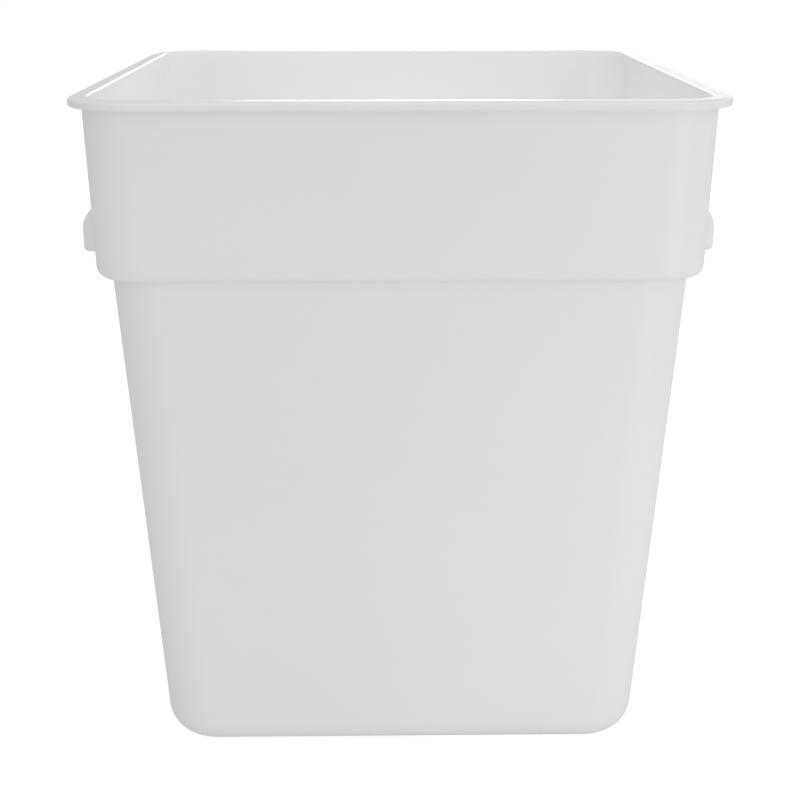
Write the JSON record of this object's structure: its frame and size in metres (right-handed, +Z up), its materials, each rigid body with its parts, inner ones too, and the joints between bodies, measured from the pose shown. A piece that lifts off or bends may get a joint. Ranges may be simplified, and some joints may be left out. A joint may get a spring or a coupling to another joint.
{
  "type": "square mixing tub",
  "caption": "Tapered square plastic tub with a stepped-out collar, a flat rim flange and a moulded cup handle on each side; carries and mixes mortar by hand.",
  "frame": {"origin": "middle of the base, on the surface that the tub stands on", "axes": "+Z up through the open mouth, +X towards the right handle, +Y towards the back wall"},
  "size_m": [0.3012, 0.2858, 0.3207],
  "materials": {
    "polyethylene": "white, satin, slightly translucent moulded polyethylene"
  },
  "bodies": {
    "root": {"floor_panel": "polyethylene", "heel_ring": "polyethylene", "lower_wall": "polyethylene", "step_ledge": "polyethylene", "collar_wall": "polyethylene", "rim_flange": "polyethylene", "left_handle": "polyethylene", "right_handle": "polyethylene"}
  },
  "joints": []
}
